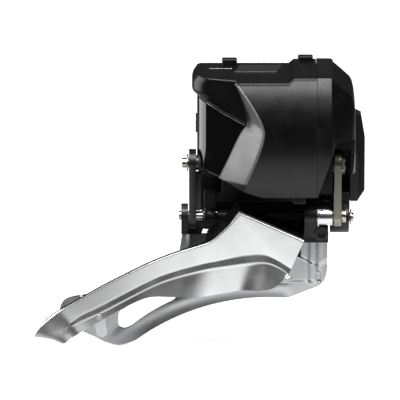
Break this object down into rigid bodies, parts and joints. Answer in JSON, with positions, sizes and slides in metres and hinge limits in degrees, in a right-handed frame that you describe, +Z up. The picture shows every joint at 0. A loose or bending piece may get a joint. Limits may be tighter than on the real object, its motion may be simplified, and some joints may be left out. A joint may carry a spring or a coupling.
{
  "type": "front derailleur",
  "caption": "Electronic bicycle front derailleur: a motor housing on a frame bracket swings a polished chain cage in and out on a parallelogram linkage.",
  "frame": {"origin": "centre of the mounting bolt, on the bracket's face that sits against the bicycle frame", "axes": "+X to the front of the bicycle, +Y inboard towards the bicycle's frame, +Z up; the chainring's axis runs along Y below the origin"},
  "size_m": [0.1108, 0.05, 0.0984],
  "materials": {
    "black_alloy": "satin black paint on forged aluminium",
    "bolt_steel": "bright zinc-plated steel",
    "housing_black": "satin black, finely textured",
    "seal_rubber": "smooth black rubber",
    "gloss_black": "high-gloss black",
    "trim_grey": "satin mid-grey with a fine metallic grain",
    "can_steel": "nickel-plated sheet steel",
    "white_plastic": "natural acetal",
    "board_green": "green solder mask",
    "inner_plastic": "dark grey moulding",
    "bush_bronze": "sintered bronze",
    "winding_copper": "copper winding",
    "gear_brass": "machined brass",
    "black_link": "black anodised forging",
    "nickel_link": "warm nickel plating",
    "cage_silver": "polished bright aluminium",
    "chrome": "polished chrome",
    "nickel_pin": "nickel plating",
    "black_screw": "black oxide steel"
  },
  "bodies": {
    "base": {"mount_bracket": "black_alloy", "mount_bolt": "bolt_steel", "mount_washer": "bolt_steel", "motor_housing": "housing_black", "end_cap": "housing_black", "cap_gasket": "seal_rubber", "side_insert": "gloss_black", "chevron_trim": "trim_grey", "cap_screws": "bolt_steel", "housing_screws": "bolt_steel", "motor_can": "can_steel", "motor_end_bell": "white_plastic", "gear_plate": "can_steel", "gear_axles": "bolt_steel", "circuit_board": "board_green", "position_sensor": "inner_plastic", "wire_socket": "inner_plastic", "socket_seal": "seal_rubber", "output_bushes": "bush_bronze", "shaft_seals": "seal_rubber", "upper_pin": "bolt_steel", "upper_pin_clips": "bolt_steel"},
    "rotor": {"motor_shaft": "bolt_steel", "motor_armature": "winding_copper", "motor_pinion": "gear_brass"},
    "first_stage": {"first_gear": "white_plastic"},
    "second_stage": {"second_gear": "white_plastic"},
    "outboard_link": {"output_shaft": "bolt_steel", "output_gear": "gear_brass", "rear_arm": "black_link", "drive_arm": "nickel_link", "shaft_clip": "bolt_steel", "drive_nut": "bolt_steel"},
    "inboard_link": {"inner_link": "black_link", "link_bushes": "bush_bronze"},
    "cage": {"cage_bracket": "black_link", "outer_plate": "cage_silver", "inner_plate": "cage_silver", "tail_bridge": "cage_silver", "tail_screws": "bolt_steel", "cage_screws": "bolt_steel", "pivot_bush": "chrome", "rear_pin": "bolt_steel", "front_pin": "nickel_pin", "lower_pin": "bolt_steel", "pin_clips": "bolt_steel"},
    "adjuster": {"adjust_screw": "black_screw"}
  },
  "joints": [
    {"name": "link_swing", "type": "hinge", "parent": "base", "child": "outboard_link", "pos_m": [0, -0.024, 0.0012], "axis": [-1, 0, 0], "range_deg": [-3, 24]},
    {"name": "inner_link_swing", "type": "hinge", "parent": "base", "child": "inboard_link", "pos_m": [0, -0.0135, -0.0018], "axis": [-1, 0, 0], "range_deg": [-3, 24]},
    {"name": "cage_pivot", "type": "hinge", "parent": "outboard_link", "child": "cage", "pos_m": [0, -0.024, -0.0168], "axis": [-1, 0, 0], "range_deg": [-24, 3]},
    {"name": "second_gear_spin", "type": "hinge", "parent": "base", "child": "second_stage", "pos_m": [0.016, -0.022, 0.01303], "axis": [-1, 0, 0], "range_deg": [-72, 9]},
    {"name": "first_gear_spin", "type": "hinge", "parent": "base", "child": "first_stage", "pos_m": [0.014, -0.03, 0.01984], "axis": [-1, 0, 0], "range_deg": [-22.5, 180]},
    {"name": "motor_spin", "type": "hinge", "parent": "base", "child": "rotor", "pos_m": [0, -0.0197, 0.0178], "axis": [-1, 0, 0], "range_deg": [-450, 56.25]},
    {"name": "adjust_screw_turn", "type": "hinge", "parent": "cage", "child": "adjuster", "pos_m": [0.0172, -0.02, -0.0233], "axis": [0, -1, 0], "range_deg": [-180, 180]}
  ],
  "couplings": [
    {"joint": "inner_link_swing", "follows": "link_swing", "ratio": 1},
    {"joint": "cage_pivot", "follows": "link_swing", "ratio": -1},
    {"joint": "second_gear_spin", "follows": "link_swing", "ratio": -3},
    {"joint": "first_gear_spin", "follows": "link_swing", "ratio": 7.5},
    {"joint": "motor_spin", "follows": "link_swing", "ratio": -18.75}
  ]
}
